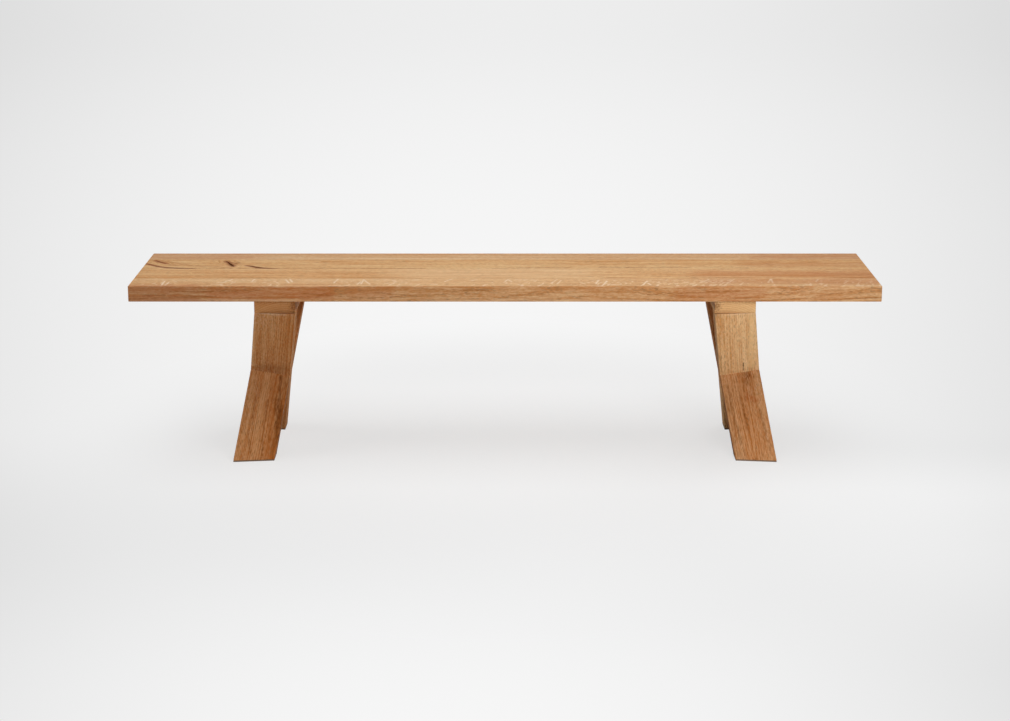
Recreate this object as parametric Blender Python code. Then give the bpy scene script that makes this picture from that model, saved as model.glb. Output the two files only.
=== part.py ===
"""A dining bench in solid oak: a seat of four edge-glued boards, bolted to two splayed trestles.

Each trestle is a flat rail on two straight legs that cross in a half-lap, leans out towards the end of
the seat, and stands on thin glides. Metres, +Z up. The origin is on the floor under the middle of the
seat, +X runs along the bench and +Y to its back.
"""

import math

import bmesh
import bpy
from mathutils import Matrix, Vector

# Seat, as one panel glued up from boards that run its whole length
SEAT_LENGTH = 1.800
SEAT_HEIGHT = 0.443
SEAT_THICKNESS = 0.038
REAR_BOARD_WIDTH = 0.0800
MID_REAR_BOARD_WIDTH = 0.1128
MID_FRONT_BOARD_WIDTH = 0.1163
FRONT_BOARD_WIDTH = 0.0900
SEAT_ARRIS = 0.0015

# Trestles
SEAT_OVERHANG = 0.2965  # from the seat's end to the rail's outer side
SPLAY = math.radians(9.3)  # lean of the whole trestle, out towards the seat's end
RAIL_LENGTH = 0.338
RAIL_THICKNESS = 0.034
LEG_DEPTH = 0.098  # the leg's section along the bench, square to the trestle
LEG_WIDTH = 0.049  # the leg's section across the bench, square to its own run
FOOT_REACH = 0.0155  # how far a foot stands out past the rail's end, at the floor
TRESTLE_ARRIS = 0.0012
GLIDE_THICKNESS = 0.003
GLIDE_INSET = 0.005

# Dowels that pin each leg to its rail, upright
DOWEL_DIAMETER = 0.012
DOWEL_IN_RAIL = 0.022
DOWEL_IN_LEG = 0.030
DOWEL_EDGE = 0.026  # from the leg's side to the dowel's middle
DOWEL_CHAMFER = 0.001
GLUE_ROOM = 0.001  # spare depth at each end of a dowel's hole

# Socket-head bolts, up through slots in the rail into inserts in the seat
BOLT_DIAMETER = 0.008
BOLT_LENGTH = 0.040
BOLT_HEAD_DIAMETER = 0.013
BOLT_HEAD_HEIGHT = 0.008
BOLT_CHAMFER = 0.0006
SOCKET_WIDTH = 0.006
SOCKET_DEPTH = 0.004
HEAD_SETBACK = 0.002  # the head's depth inside the rail's underside
BOLT_EDGE = 0.0245  # from the rail's side to the bolt's middle
BOLT_TO_LEG = 0.042  # from the leg's top to the bolt's middle
SLOT_CLEARANCE = 0.0005
SLOT_TRAVEL = 0.006  # lets the seat swell and shrink across its grain
WASHER_THICKNESS = 0.0016
WASHER_RIM = 0.0055
COUNTERBORE_CLEARANCE = 0.001
INSERT_WALL = 0.0017
INSERT_LENGTH = 0.018
INSERT_RECESS = 0.0005
INSERT_ROOM = 0.002

# Fit and mesh
FIT_GAP = 0.0003  # between pieces that touch
CUT_OVERRUN = 0.004  # how far a cutter runs past the face that it opens
ARRIS_SEGMENTS = 2
ROUND_SIDES = 24
HEXAGON_SIDES = 6
SHARP_ANGLE = math.radians(30)  # a round piece's sides are shaded smooth below this angle
PARALLEL_SHARE = 0.999  # an edge counts as along a direction above this cosine

BOARD_WIDTHS = {
    "seat_board_rear": REAR_BOARD_WIDTH,
    "seat_board_mid_rear": MID_REAR_BOARD_WIDTH,
    "seat_board_mid_front": MID_FRONT_BOARD_WIDTH,
    "seat_board_front": FRONT_BOARD_WIDTH,
}
SEAT_WIDTH = sum(BOARD_WIDTHS.values()) + FIT_GAP * (len(BOARD_WIDTHS) - 1)
SEAT_UNDERSIDE = SEAT_HEIGHT - SEAT_THICKNESS

RAIL_TOP = SEAT_UNDERSIDE - FIT_GAP
RAIL_UNDERSIDE = RAIL_TOP - RAIL_THICKNESS
RAIL_WIDTH = LEG_DEPTH / math.cos(SPLAY)
LEG_TOP = RAIL_UNDERSIDE - FIT_GAP
FOOT_CUT = GLIDE_THICKNESS + FIT_GAP
TRESTLE_X = SEAT_LENGTH / 2 - SEAT_OVERHANG - RAIL_WIDTH / 2

# The trestle's own directions: down its slope, and inwards through its depth. Both are square to +Y.
DOWN_SLOPE = Vector((-math.sin(SPLAY), 0, -math.cos(SPLAY)))
ACROSS = Vector((0, 1, 0))
THROUGH = Vector((math.cos(SPLAY), 0, -math.sin(SPLAY)))
OUTER_TOP = Vector((-RAIL_WIDTH / 2, 0, LEG_TOP))


def leg_lean():
    """The legs' angle in the trestle's plane, from the rail's end above to the far foot's reach below."""
    run = RAIL_LENGTH + FOOT_REACH
    slope_height = LEG_TOP / math.cos(SPLAY)
    return math.acos(LEG_WIDTH / math.hypot(run, slope_height)) - math.atan2(slope_height, run)


LEG_LEAN = leg_lean()
LEG_FACE = LEG_WIDTH / math.cos(LEG_LEAN)  # the leg's width along +Y, on a level cut
BOLT_Y = RAIL_LENGTH / 2 - LEG_FACE - BOLT_TO_LEG
BOLT_X = RAIL_WIDTH / 2 - BOLT_EDGE
HEAD_UNDERSIDE = RAIL_UNDERSIDE + HEAD_SETBACK
WASHER_UNDERSIDE = HEAD_UNDERSIDE + BOLT_HEAD_HEIGHT + FIT_GAP
COUNTERBORE_TOP = WASHER_UNDERSIDE + WASHER_THICKNESS + FIT_GAP
WASHER_BORE = BOLT_DIAMETER + SLOT_CLEARANCE + SLOT_CLEARANCE
WASHER_DIAMETER = WASHER_BORE + WASHER_RIM + WASHER_RIM
INSERT_BORE = BOLT_DIAMETER + FIT_GAP + FIT_GAP
INSERT_DIAMETER = INSERT_BORE + INSERT_WALL + INSERT_WALL
INSERT_UNDERSIDE = SEAT_UNDERSIDE + INSERT_RECESS
INSERT_TOP = INSERT_UNDERSIDE + INSERT_LENGTH
BOLT_END = HEAD_UNDERSIDE + BOLT_HEAD_HEIGHT + BOLT_LENGTH


def clear_scene():
    for obj in list(bpy.data.objects):
        bpy.data.objects.remove(obj, do_unlink=True)


def linear(channel):
    """One sRGB channel, 0 to 255, as Blender's linear value."""
    share = channel / 255
    return share / 12.92 if share <= 0.04045 else ((share + 0.055) / 1.055) ** 2.4


def principled(name, colour, roughness, metallic=0.0):
    """A Principled material from an sRGB colour of three bytes."""
    material = bpy.data.materials.new(name)
    material.use_nodes = True
    shader = material.node_tree.nodes["Principled BSDF"]
    rgba = [linear(channel) for channel in colour] + [1.0]
    shader.inputs["Base Color"].default_value = rgba
    shader.inputs["Roughness"].default_value = roughness
    shader.inputs["Metallic"].default_value = metallic
    material.diffuse_color = rgba
    return material


def oiled_oak(name, colour):
    return principled(name, colour, roughness=0.55)


def seat_oak(board_name):
    colours = {
        "seat_board_rear": (196, 158, 121),
        "seat_board_mid_rear": (204, 163, 121),
        "seat_board_mid_front": (203, 158, 114),
        "seat_board_front": (207, 165, 124),
    }
    return oiled_oak(board_name + "_oak", colours[board_name])


def add_object(name, bm, material=None):
    """The mesh as an object of its own, with its faces turned out."""
    bmesh.ops.recalc_face_normals(bm, faces=bm.faces)
    mesh = bpy.data.meshes.new(name)
    bm.to_mesh(mesh)
    bm.free()
    if material:
        mesh.materials.append(material)
    obj = bpy.data.objects.new(name, mesh)
    bpy.context.scene.collection.objects.link(obj)
    return obj


def add_cutter(name, bm, parent=None):
    """A guide shape that only cuts other pieces, and is never rendered."""
    cutter = add_object(name, bm)
    cutter.parent = parent
    cutter.hide_render = True
    cutter.display_type = "WIRE"
    return cutter


def cut(piece, cutter):
    modifier = piece.modifiers.new(cutter.name, "BOOLEAN")
    modifier.operation = "DIFFERENCE"
    modifier.solver = "EXACT"
    modifier.object = cutter


def ease(bm, edges, width):
    """Rounds these edges over, as a quarter of a small round."""
    bmesh.ops.bevel(
        bm,
        geom=edges,
        offset=width,
        offset_type="OFFSET",
        segments=ARRIS_SEGMENTS,
        profile=0.5,
        affect="EDGES",
        material=-1,
    )


def add_block(bm, size):
    bmesh.ops.create_cube(bm, size=1, matrix=Matrix.Diagonal((*size, 1)))


def raise_face(bm, face, height):
    """Extrudes one face straight up, and returns the face that it ends in."""
    extruded = bmesh.ops.extrude_face_region(bm, geom=[face])["geom"]
    top = next(item for item in extruded if isinstance(item, bmesh.types.BMFace))
    bmesh.ops.translate(bm, verts=top.verts, vec=(0, 0, height))
    return top


def add_slot(bm, centre, bottom, top, diameter, travel=0, neck_top=None, neck_diameter=None):
    """An upright cutter, stretched along Y by its travel, with a narrower neck above if one is named."""
    half_side = Matrix.Rotation(math.pi / ROUND_SIDES, 4, "Z")
    place = Matrix.Translation((centre.x, centre.y, bottom))
    made = bmesh.ops.create_circle(
        bm, cap_ends=True, radius=diameter / 2, segments=ROUND_SIDES, matrix=place @ half_side
    )
    for vert in made["verts"]:
        vert.co.y += math.copysign(travel / 2, vert.co.y - centre.y)
    face = raise_face(bm, made["verts"][0].link_faces[0], top - bottom)
    if neck_top is None:
        return
    bmesh.ops.inset_region(
        bm, faces=[face], thickness=(diameter - neck_diameter) / 2, use_even_offset=True
    )
    raise_face(bm, face, neck_top - top)
    bmesh.ops.delete(bm, geom=[face], context="FACES_ONLY")


def add_ring(bm, diameter, height, hexagonal=False):
    """A level ring of points round the upright axis, in order, round or with six flats at that width."""
    ring = bmesh.ops.create_circle(
        bm, radius=diameter / 2, segments=ROUND_SIDES, matrix=Matrix.Translation((0, 0, height))
    )["verts"]
    if hexagonal:
        flat_angle = math.tau / HEXAGON_SIDES
        for vert in ring:
            angle = math.atan2(vert.co.y, vert.co.x) % flat_angle
            stretch = 1 / math.cos(angle - flat_angle / 2)
            vert.co.x *= stretch
            vert.co.y *= stretch
    return ring


def turned(rings, hollow):
    """A round piece through its rings in order. A solid one is capped, and a hollow one closes on itself."""
    bm = bmesh.new()
    loops = [add_ring(bm, *ring) for ring in rings]
    following = loops[1:] + loops[:1] if hollow else loops[1:]
    for loop, next_loop in zip(loops, following):
        for side in range(ROUND_SIDES):
            bm.faces.new((loop[side - 1], loop[side], next_loop[side], next_loop[side - 1]))
    if not hollow:
        bm.faces.new(loops[0])
        bm.faces.new(loops[-1])
    return bm


# Seat

def add_seat_boards(insert_holes):
    """The boards from back to front, a fit gap apart. Only the edges on the seat's outside are eased."""
    back = SEAT_WIDTH / 2
    for name, width in BOARD_WIDTHS.items():
        centre = Vector((0, back - width / 2, SEAT_UNDERSIDE + SEAT_THICKNESS / 2))
        bm = bmesh.new()
        add_block(bm, (SEAT_LENGTH, width, SEAT_THICKNESS))
        ease(bm, seat_outside_edges(bm, centre), SEAT_ARRIS)
        board = add_object(name, bm, seat_oak(name))
        board.location = centre
        cut(board, insert_holes)
        back -= width + FIT_GAP


def seat_outside_edges(bm, centre):
    """The edges of a board on this centre that lie on two of the seat's outer faces."""
    edges = []
    for edge in bm.edges:
        middle = (edge.verts[0].co + edge.verts[1].co) / 2 + centre
        on_end = abs(abs(middle.x) - SEAT_LENGTH / 2) < FIT_GAP / 4
        on_side = abs(abs(middle.y) - SEAT_WIDTH / 2) < FIT_GAP / 4
        on_face = abs(abs(middle.z - centre.z) - SEAT_THICKNESS / 2) < FIT_GAP / 4
        if on_end + on_side + on_face > 1:
            edges.append(edge)
    return edges


def bolt_places():
    """The bolts' middles in a trestle's own frame."""
    return [Vector((x, y, 0)) for x in (-BOLT_X, BOLT_X) for y in (-BOLT_Y, BOLT_Y)]


def add_insert_holes():
    """Blind holes in the seat's underside, one for each insert, with room for the bolt's end."""
    bm = bmesh.new()
    top = max(INSERT_TOP, BOLT_END) + INSERT_ROOM
    for side in (-1, 1):
        for place in bolt_places():
            centre = Vector((side * TRESTLE_X, 0, 0)) + place
            bottom = SEAT_UNDERSIDE - CUT_OVERRUN
            add_slot(bm, centre, bottom, top, INSERT_DIAMETER + FIT_GAP + FIT_GAP)
    return add_cutter("cutter_insert_holes", bm)


# Legs

def along_leg(lean):
    """The direction down a leg. A lean of 1 runs to the back on its way down, and -1 to the front."""
    return math.cos(LEG_LEAN) * DOWN_SLOPE + lean * math.sin(LEG_LEAN) * ACROSS


def leg_point(lean, height, depth):
    """The point midway across a leg's width, at this height and this depth through the trestle."""
    slope = (LEG_TOP - height - depth * math.sin(SPLAY)) / math.cos(SPLAY)
    top_y = (LEG_FACE - RAIL_LENGTH) / 2
    y = lean * (top_y + slope * math.tan(LEG_LEAN))
    return OUTER_TOP + slope * DOWN_SLOPE + depth * THROUGH + y * ACROSS


def add_leg_block(bm, lean, near, far, width):
    """A straight bar on a leg's line, overlong at both ends, between two depths through the trestle."""
    along = along_leg(lean)
    turn = Matrix((along, THROUGH.cross(along), THROUGH)).transposed().to_4x4()
    length = LEG_TOP / (math.cos(SPLAY) * math.cos(LEG_LEAN)) + LEG_DEPTH + LEG_WIDTH
    size = Matrix.Diagonal((length, width, far - near, 1))
    middle = leg_point(lean, LEG_TOP / 2, (near + far) / 2)
    bmesh.ops.create_cube(bm, size=1, matrix=Matrix.Translation(middle) @ turn @ size)


def saw_level(bm, height, keep):
    """Saws the bar off level at this height and closes the cut. Keep is 1 for the part above, -1 below."""
    geometry = list(bm.verts) + list(bm.edges) + list(bm.faces)
    cut_edges = bmesh.ops.bisect_plane(
        bm, geom=geometry, plane_co=(0, 0, height), plane_no=(0, 0, -keep), clear_outer=True
    )["geom_cut"]
    edges = [item for item in cut_edges if isinstance(item, bmesh.types.BMEdge)]
    bmesh.ops.edgeloop_fill(bm, edges=edges)


def add_leg(name, lean, trestle, material):
    """One leg: a planed bar with eased long edges, its two ends sawn level at a compound angle."""
    bm = bmesh.new()
    add_leg_block(bm, lean, 0, LEG_DEPTH, LEG_WIDTH)
    long_edges = [edge for edge in bm.edges if runs_along(edge, along_leg(lean))]
    ease(bm, long_edges, TRESTLE_ARRIS)
    saw_level(bm, LEG_TOP, keep=-1)
    saw_level(bm, FOOT_CUT, keep=1)
    leg = add_object(name, bm, material)
    leg.parent = trestle
    cut(leg, add_leg_cutter(f"cutter_{name}", lean, trestle))


def runs_along(edge, direction):
    line = edge.verts[1].co - edge.verts[0].co
    return abs(line.normalized().dot(direction)) > PARALLEL_SHARE


def add_leg_cutter(name, lean, trestle):
    """The half-lap for the crossing leg, and the holes for the dowels at the top.

    The leg that leans to the back loses its outer half at the crossing, and the other its inner half.
    """
    bm = bmesh.new()
    near = -CUT_OVERRUN if lean > 0 else (LEG_DEPTH - FIT_GAP) / 2
    far = (LEG_DEPTH + FIT_GAP) / 2 if lean > 0 else LEG_DEPTH + CUT_OVERRUN
    add_leg_block(bm, -lean, near, far, LEG_WIDTH + FIT_GAP + FIT_GAP)
    for place in dowel_places(lean):
        bottom = LEG_TOP - DOWEL_IN_LEG - GLUE_ROOM
        add_slot(bm, place, bottom, LEG_TOP + CUT_OVERRUN, DOWEL_DIAMETER + FIT_GAP + FIT_GAP)
    return add_cutter(name, bm, trestle)


def dowel_places(lean):
    """The middles of a leg's dowels, which cross its middle line halfway down their holes."""
    height = LEG_TOP - DOWEL_IN_LEG / 2
    return [leg_point(lean, height, depth) for depth in (DOWEL_EDGE, LEG_DEPTH - DOWEL_EDGE)]


def add_glide(name, lean, trestle, material):
    """A thin pad under a foot, with the foot's own outline drawn in a little."""
    half = LEG_FACE / 2
    corners = []
    for depth, side in ((0, -half), (0, half), (LEG_DEPTH, half), (LEG_DEPTH, -half)):
        corner = leg_point(lean, FOOT_CUT, depth)
        corners.append((corner.x, corner.y + side, 0))
    bm = bmesh.new()
    face = bm.faces.new([bm.verts.new(corner) for corner in corners])
    rim = bmesh.ops.inset_region(bm, faces=[face], thickness=GLIDE_INSET, use_even_offset=True)["faces"]
    bmesh.ops.delete(bm, geom=rim, context="FACES")
    raise_face(bm, face, GLIDE_THICKNESS)
    glide = add_object(name, bm, material)
    glide.parent = trestle


# Rail

def add_rail(name, trestle, material):
    bm = bmesh.new()
    add_block(bm, (RAIL_WIDTH, RAIL_LENGTH, RAIL_THICKNESS))
    ease(bm, list(bm.edges), TRESTLE_ARRIS)
    rail = add_object(name, bm, material)
    rail.parent = trestle
    rail.location.z = RAIL_UNDERSIDE + RAIL_THICKNESS / 2
    cut(rail, add_rail_cutter(f"cutter_{name}", trestle))


def add_rail_cutter(name, trestle):
    """Blind holes for the dowels, and a counterbored slot for each bolt."""
    bm = bmesh.new()
    bottom = RAIL_UNDERSIDE - CUT_OVERRUN
    for lean in (-1, 1):
        for place in dowel_places(lean):
            top = RAIL_UNDERSIDE + DOWEL_IN_RAIL + GLUE_ROOM
            add_slot(bm, place, bottom, top, DOWEL_DIAMETER + FIT_GAP + FIT_GAP)
    for place in bolt_places():
        add_slot(
            bm,
            place,
            bottom,
            COUNTERBORE_TOP,
            WASHER_DIAMETER + COUNTERBORE_CLEARANCE + COUNTERBORE_CLEARANCE,
            travel=SLOT_TRAVEL,
            neck_top=RAIL_TOP + CUT_OVERRUN,
            neck_diameter=BOLT_DIAMETER + SLOT_CLEARANCE + SLOT_CLEARANCE,
        )
    return add_cutter(name, bm, trestle)


# Dowels and fasteners

def round_mesh(rings, hollow, material):
    """A turned piece's mesh, which every copy of the piece shares."""
    model = add_object(material.name, turned(rings, hollow), material)
    mesh = model.data
    bpy.data.objects.remove(model)
    mesh.shade_smooth()
    mesh.set_sharp_from_angle(angle=SHARP_ANGLE)
    return mesh


def place_round(name, mesh, place, height, trestle):
    piece = bpy.data.objects.new(name, mesh)
    bpy.context.scene.collection.objects.link(piece)
    piece.parent = trestle
    piece.location = (place.x, place.y, height)


def dowel_mesh():
    """A plain beech peg with chamfered ends, from its lower end up."""
    tip = DOWEL_DIAMETER - DOWEL_CHAMFER - DOWEL_CHAMFER
    length = DOWEL_IN_LEG + FIT_GAP + DOWEL_IN_RAIL
    rings = (
        (tip, 0),
        (DOWEL_DIAMETER, DOWEL_CHAMFER),
        (DOWEL_DIAMETER, length - DOWEL_CHAMFER),
        (tip, length),
    )
    return round_mesh(rings, False, principled("beech_dowel", (219, 185, 143), roughness=0.6))


def bolt_mesh(steel):
    """A cap-head bolt with a hexagon socket, from the head's underside up to the shank's end."""
    head_rim = BOLT_HEAD_DIAMETER - BOLT_CHAMFER - BOLT_CHAMFER
    end = BOLT_HEAD_HEIGHT + BOLT_LENGTH
    rings = (
        (SOCKET_WIDTH, SOCKET_DEPTH, True),
        (SOCKET_WIDTH, 0, True),
        (head_rim, 0),
        (BOLT_HEAD_DIAMETER, BOLT_CHAMFER),
        (BOLT_HEAD_DIAMETER, BOLT_HEAD_HEIGHT),
        (BOLT_DIAMETER, BOLT_HEAD_HEIGHT),
        (BOLT_DIAMETER, end - BOLT_CHAMFER),
        (BOLT_DIAMETER - BOLT_CHAMFER - BOLT_CHAMFER, end),
    )
    return round_mesh(rings, False, steel)


def sleeve_mesh(bore, outside, length, material):
    """A plain tube or washer, from its lower end up."""
    rings = ((bore, 0), (outside, 0), (outside, length), (bore, length))
    return round_mesh(rings, True, material)


def fastener_meshes():
    """Each fastener's name, its shared mesh and the height that it stands at, from the lowest up."""
    steel = principled("black_oxide_steel", (52, 52, 54), roughness=0.4, metallic=1.0)
    zinc = principled("zinc_plated_steel", (176, 178, 182), roughness=0.35, metallic=1.0)
    return (
        ("bolt", bolt_mesh(steel), HEAD_UNDERSIDE),
        ("washer", sleeve_mesh(WASHER_BORE, WASHER_DIAMETER, WASHER_THICKNESS, zinc), WASHER_UNDERSIDE),
        ("insert", sleeve_mesh(INSERT_BORE, INSERT_DIAMETER, INSERT_LENGTH, zinc), INSERT_UNDERSIDE),
    )


# Trestles

def add_trestle(side, facing, dowel, fasteners, felt):
    """One trestle. Both are made alike, and the right one is turned round to lean the other way."""
    trestle = bpy.data.objects.new(f"{side}_trestle", None)
    bpy.context.scene.collection.objects.link(trestle)
    trestle.location.x = facing * TRESTLE_X
    trestle.rotation_euler.z = math.pi if facing > 0 else 0
    add_rail(f"{side}_top_rail", trestle, oiled_oak(f"{side}_rail_oak", (203, 156, 103)))
    for lean in (1, -1):
        foot, top = ("rear", "front") if lean * facing < 0 else ("front", "rear")
        colour = (181, 137, 95) if foot == "rear" else (165, 111, 71)
        name = f"{side}_{foot}_foot_leg"
        add_leg(name, lean, trestle, oiled_oak(f"{name}_oak", colour))
        add_glide(f"{side}_{foot}_glide", lean, trestle, felt)
        for number, place in enumerate(dowel_places(lean), start=1):
            place_round(f"{side}_{top}_dowel_{number}", dowel, place, LEG_TOP - DOWEL_IN_LEG, trestle)
    for number, place in enumerate(bolt_places(), start=1):
        for kind, mesh, height in fasteners:
            place_round(f"{side}_{kind}_{number}", mesh, place, height, trestle)


def main():
    clear_scene()
    add_seat_boards(add_insert_holes())
    dowel = dowel_mesh()
    fasteners = fastener_meshes()
    felt = principled("felt_glide", (70, 58, 48), roughness=0.95)
    add_trestle("left", -1, dowel, fasteners, felt)
    add_trestle("right", 1, dowel, fasteners, felt)


main()
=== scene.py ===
"""A dining bench in oiled solid oak, and the plain studio that it stands in. Metres, +Z up.

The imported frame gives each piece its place. The seat boards, rails and legs are modelled again with finer
arrises, and one board with the checks and the knot in it. The pads and bolts are modelled again too. The
dowels, washers and inserts keep the frame's solids and get new finishes.
"""

from functools import cache, partial
import math

import bmesh
import bpy
from bpy.props import FloatProperty, FloatVectorProperty, IntProperty, PointerProperty
from bpy.types import Operator, Panel, PropertyGroup
import mathutils
from mathutils import Matrix, Vector


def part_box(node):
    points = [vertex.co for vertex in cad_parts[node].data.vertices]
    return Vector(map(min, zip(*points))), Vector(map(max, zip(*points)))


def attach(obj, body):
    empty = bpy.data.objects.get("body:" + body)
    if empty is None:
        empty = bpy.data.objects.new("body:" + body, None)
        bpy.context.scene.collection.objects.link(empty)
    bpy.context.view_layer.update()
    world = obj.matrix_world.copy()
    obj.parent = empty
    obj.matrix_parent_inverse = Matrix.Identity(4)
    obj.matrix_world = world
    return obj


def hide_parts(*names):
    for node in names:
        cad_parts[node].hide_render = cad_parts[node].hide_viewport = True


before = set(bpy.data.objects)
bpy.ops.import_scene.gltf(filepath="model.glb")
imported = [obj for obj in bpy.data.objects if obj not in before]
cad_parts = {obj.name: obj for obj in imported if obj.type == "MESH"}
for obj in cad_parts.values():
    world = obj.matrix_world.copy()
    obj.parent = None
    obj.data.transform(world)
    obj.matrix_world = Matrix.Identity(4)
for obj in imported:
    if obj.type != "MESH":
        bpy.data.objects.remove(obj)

bl_info = {
    "name": "Oak Dining Bench",
    "version": (1, 0, 0),
    "blender": (4, 5, 0),
    "location": "3D View > Sidebar > Bench",
    "description": "Models and finishes the pieces of an oak dining bench and sets up its studio",
    "category": "Object",
}

FIT_GAP = 0.0003  # between pieces that touch
CUT_OVERRUN = 0.004  # how far a cutter runs past the face that it opens
ROUND_SIDES = 48
SIDES = ("left", "right")
ENDS = ("front", "rear")
BOLTS = (1, 2, 3, 4)  # the numbers of a trestle's bolts, washers and inserts
DOWELS = (1, 2)  # the numbers of a leg's dowels


def srgb(code, alpha=True):
    """A hex sRGB colour as Blender's linear values."""
    channels = [(code >> shift & 0xFF) / 0xFF for shift in (16, 8, 0)]
    values = [c / 12.92 if c <= 0.04045 else ((c + 0.055) / 1.055) ** 2.4 for c in channels]
    return (*values, 1.0) if alpha else tuple(values)


# Settings

def colour_property(name, code, description="Its oak, oiled"):
    return FloatVectorProperty(
        name=name, description=description, subtype="COLOR", size=3, min=0, max=1,
        default=srgb(code, alpha=False),
    )


def size_property(name, default, description, unit="LENGTH"):
    return FloatProperty(name=name, description=description, unit=unit, min=0, precision=4, default=default)


class TimberSettings(PropertyGroup):
    """How the oak grew, in real sizes unless a description says otherwise."""

    ring_width: size_property("Ring width", 0.0026, "One year's growth")
    pore_width: size_property("Pore width", 0.0021, "A row of pores' width: real pores are an eighth of it")
    pore_length: size_property("Pore length", 0.011, "How long a pore shows along the grain")
    ray_thickness: size_property("Ray thickness", 0.0022, "Round the trunk: real rays are a fifth of it")
    ray_height: size_property("Ray height", 0.009, "A ray's height along the trunk")
    ray_length: size_property("Ray length", 0.070, "How far a ray shows outwards from the pith")


class SeatSettings(PropertyGroup):
    """The seat boards, from the back to the front."""

    arris: size_property("Arris", 0.0015, "The rounding of the seat's outer edges")
    rear: colour_property("Rear board", 0xD6B58C)
    mid_rear: colour_property("Second board", 0xD9B582)
    mid_front: colour_property("Third board", 0xD7AF7B)
    front: colour_property("Front board", 0xD1A674)
    check: colour_property("Checks", 0x351A10, "The dark inside of the checks and the knot")


class TrestleSettings(PropertyGroup):
    """The two splayed trestles."""

    splay: size_property("Splay", math.radians(9.3), "The lean towards the seat's end", "ROTATION")
    leg_width: size_property("Leg width", 0.049, "The leg's section across the bench")
    foot_reach: size_property("Foot reach", 0.0155, "How far a foot stands out past the rail's end")
    rail_arris: size_property("Rail arris", 0.002, "The rounding of the rails' edges")
    leg_arris: size_property("Leg arris", 0.0012, "The rounding of the legs' edges")
    left_rail: colour_property("Left rail", 0xC38643)
    right_rail: colour_property("Right rail", 0xE6BD82)
    left_rear_foot: colour_property("Left leg on the rear foot", 0xBF864C)
    left_front_foot: colour_property("Left leg on the front foot", 0xC28448)
    right_rear_foot: colour_property("Right leg on the rear foot", 0xE5BB85)
    right_front_foot: colour_property("Right leg on the front foot", 0xC58C55)


class HardwareSettings(PropertyGroup):
    """Bolts, washers, inserts, dowels and pads."""

    knurls: IntProperty(name="Knurls", description="Ridges round a bolt's head", min=12, default=36)
    knurl_depth: size_property("Knurl depth", 0.0002, "How deep the knurling is cut")
    rim: size_property("Rim", 0.0007, "The rounding of a bolt head's rim")
    socket: size_property("Socket", 0.006, "Across the flats of a bolt's socket")
    socket_depth: size_property("Socket depth", 0.004, "How deep a bolt's socket is")
    black_steel: colour_property("Bolts", 0x3A3B3D, "Steel with a black oxide finish")
    zinc: colour_property("Washers and inserts", 0xB4B8BE, "Steel with a bright zinc finish")
    beech: colour_property("Dowels", 0xDBB98F, "Beech, planed")
    felt: colour_property("Pads", 0x7A644E, "Pressed wool felt")
    pad_rounding: size_property("Pad rounding", 0.0009, "The soft rim of a pad")


class StudioSettings(PropertyGroup):
    """Floor, lamps and camera."""

    floor: colour_property("Floor", 0xF6F6F6, "The pale floor round the bench, as the camera sees it")
    distance: colour_property("Distance", 0xDEDEDE, "The floor and backdrop far from the bench")
    shadow: FloatProperty(
        name="Shadow", description="How much of the floor's own shading the camera sees near the bench",
        subtype="FACTOR", min=0, max=1, default=0.28,
    )
    fill: size_property("Fill", 0.08, "The sky's even light", "NONE")
    top_power: size_property("Top lamp", 46, "Its power", "POWER")
    key_power: size_property("Key lamp", 21.5, "Its power", "POWER")
    back_power: size_property("Back lamp", 30, "Its power", "POWER")
    side_power: size_property("Side lamp", 20, "Its power", "POWER")
    camera_height: size_property("Camera height", 1.5419, "Above the floor")
    camera_distance: size_property("Camera distance", 5.3132, "In front of the seat's middle")
    camera_pitch: size_property("Camera pitch", math.radians(14.07), "Down from level", "ROTATION")
    lens: size_property("Lens", 78.13, "Focal length", "CAMERA")


class BenchSettings(PropertyGroup):
    """All the bench's settings."""

    timber: PointerProperty(type=TimberSettings)
    seat: PointerProperty(type=SeatSettings)
    trestle: PointerProperty(type=TrestleSettings)
    hardware: PointerProperty(type=HardwareSettings)
    studio: PointerProperty(type=StudioSettings)


def settings():
    return bpy.context.scene.bench


# Nodes

# What the second word of a node's kind sets
MODES = {
    "Math": "operation", "VectorMath": "operation", "MapRange": "interpolation_type",
    "Mapping": "vector_type", "Mix": "data_type", "TexWhiteNoise": "noise_dimensions",
}


def add(tree, kind, inputs=(), **values):
    """Adds a node with its settings, for a kind such as "Math ADD". Inputs come in order or by name, as
    values, sockets or nodes, and only the sockets in use count.
    """
    kind, *mode = kind.split()
    node = tree.nodes.new("ShaderNode" + kind)
    if mode:
        setattr(node, MODES[kind], mode[0])
    for name, value in values.items():
        setattr(node, name, value)
    sockets = [socket for socket in node.inputs if socket.enabled]
    if isinstance(inputs, dict):
        sockets = [next(s for s in sockets if s.name == name) for name in inputs]
        inputs = inputs.values()
    for socket, value in zip(sockets, inputs):
        connect(value, socket)
    return node


def connect(value, socket):
    """Sets the socket to a value, or links it to another socket or to a node's first output in use."""
    if isinstance(value, bpy.types.Node):
        value = next(s for s in value.outputs if s.enabled)
    if isinstance(value, bpy.types.NodeSocket):
        socket.id_data.links.new(value, socket)
    else:
        socket.default_value = value


def new_material(name):
    """A material, the function that adds a new node to it, and its bare Principled shader."""
    material = bpy.data.materials.new(name)
    material.use_nodes = True
    tree = material.node_tree
    return material, partial(add, tree), tree.nodes["Principled BSDF"]


def set_shader(shader, **inputs):
    """Sets or links the shader's inputs. An underscore stands for the space in a name."""
    for name, value in inputs.items():
        connect(value, shader.inputs[name.replace("_", " ")])


def grain_noise(new, vector, scales, detail=2.0, roughness=0.5):
    """Noise stretched to these scales, in cells per metre along each axis."""
    return new("TexNoise", (new("VectorMath MULTIPLY", (vector, scales)), 1.0, detail, roughness))


# Oak

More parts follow.
